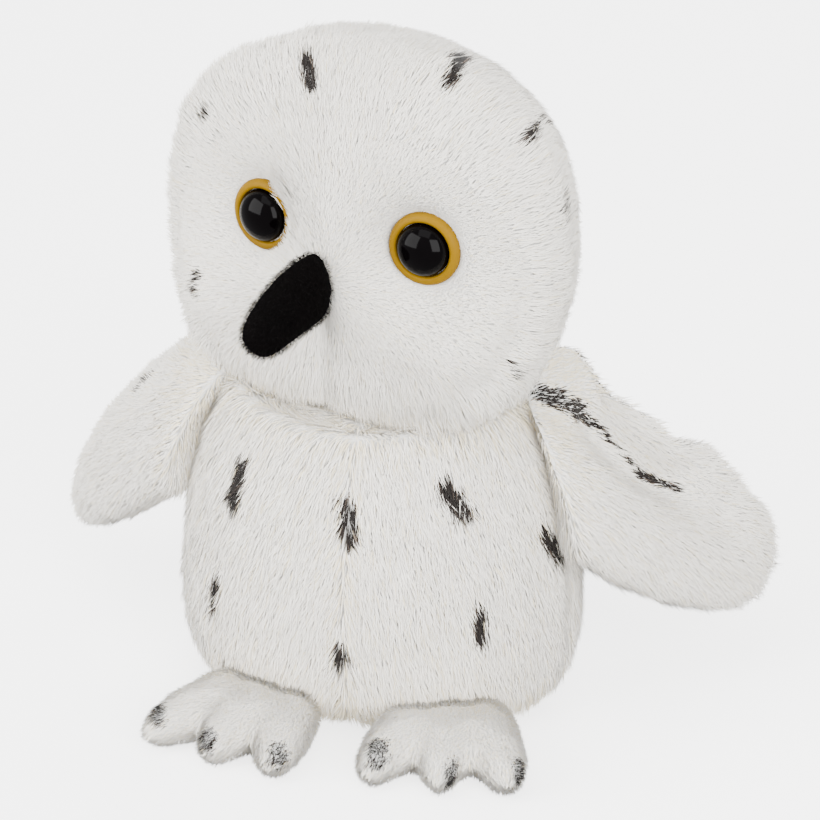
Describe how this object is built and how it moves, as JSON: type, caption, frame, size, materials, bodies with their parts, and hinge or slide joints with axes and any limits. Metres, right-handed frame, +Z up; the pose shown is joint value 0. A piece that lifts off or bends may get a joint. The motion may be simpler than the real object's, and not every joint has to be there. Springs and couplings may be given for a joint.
{
  "type": "plush owl",
  "caption": "Small standing plush owl with a turning stuffed head, plastic eyes, a felt beak, sprung wings and flexing feet.",
  "frame": {"origin": "on the ground under the middle of the body, in the flat middle of the base panel", "axes": "+Z up, the owl faces -Y, its own left side is +X"},
  "size_m": [0.1543, 0.0885, 0.1415],
  "materials": {
    "long_white_plush": "long soft pile, about 7 mm, laid down",
    "short_white_plush": "short dense pile, about 3 mm",
    "polyester_stuffing": "loose white fibre fill",
    "pouch_cloth": "plain woven cloth",
    "black_felt": "matte brushed felt",
    "yellow_plastic": "glossy moulded",
    "black_plastic": "polished dome",
    "white_plastic": "plain moulded"
  },
  "bodies": {
    "body": {"body_front_left_panel": "long_white_plush", "body_front_right_panel": "long_white_plush", "body_back_left_panel": "long_white_plush", "body_back_right_panel": "long_white_plush", "body_base_panel": "long_white_plush", "body_stuffing": "polyester_stuffing", "pellet_pouch": "pouch_cloth"},
    "head": {"head_gusset": "long_white_plush", "face_left_panel": "short_white_plush", "face_right_panel": "short_white_plush", "hood_left_panel": "long_white_plush", "hood_right_panel": "long_white_plush", "head_stuffing": "polyester_stuffing", "beak_cover": "black_felt", "beak_stuffing": "polyester_stuffing", "left_eye_ring": "yellow_plastic", "left_eye_pupil": "black_plastic", "left_eye_lock_washer": "white_plastic", "right_eye_ring": "yellow_plastic", "right_eye_pupil": "black_plastic", "right_eye_lock_washer": "white_plastic"},
    "left_wing": {"left_wing_front_cover": "long_white_plush", "left_wing_back_cover": "long_white_plush", "left_wing_stuffing": "polyester_stuffing"},
    "left_foot": {"left_foot_upper": "short_white_plush", "left_foot_sole": "short_white_plush", "left_foot_stuffing": "polyester_stuffing"},
    "right_wing": {"right_wing_front_cover": "long_white_plush", "right_wing_back_cover": "long_white_plush", "right_wing_stuffing": "polyester_stuffing"},
    "right_foot": {"right_foot_upper": "short_white_plush", "right_foot_sole": "short_white_plush", "right_foot_stuffing": "polyester_stuffing"}
  },
  "joints": [
    {"name": "head_turn", "type": "hinge", "parent": "body", "child": "head", "pos_m": [-0.002, -0.002, 0.064], "axis": [0, 0, 1], "range_deg": [-14, 46], "stiffness_Nm_per_rad": 0.05},
    {"name": "left_wing_swing", "type": "hinge", "parent": "body", "child": "left_wing", "pos_m": [0.03339, -0.004, 0.064], "axis": [0.5441, 0, -0.839], "range_deg": [-8, 50], "stiffness_Nm_per_rad": 0.05},
    {"name": "right_wing_swing", "type": "hinge", "parent": "body", "child": "right_wing", "pos_m": [-0.03336, -0.004, 0.064], "axis": [0.5435, 0, 0.8394], "range_deg": [-8, 50], "stiffness_Nm_per_rad": 0.05},
    {"name": "left_foot_flex", "type": "hinge", "parent": "body", "child": "left_foot", "pos_m": [0.02064, -0.01905, 0.002], "axis": [0.9925, 0.1219, 0], "range_deg": [-12, 25], "stiffness_Nm_per_rad": 0.03},
    {"name": "right_foot_flex", "type": "hinge", "parent": "body", "child": "right_foot", "pos_m": [-0.01719, -0.0203, 0.002], "axis": [0.9744, -0.225, 0], "range_deg": [-12, 25], "stiffness_Nm_per_rad": 0.03}
  ]
}
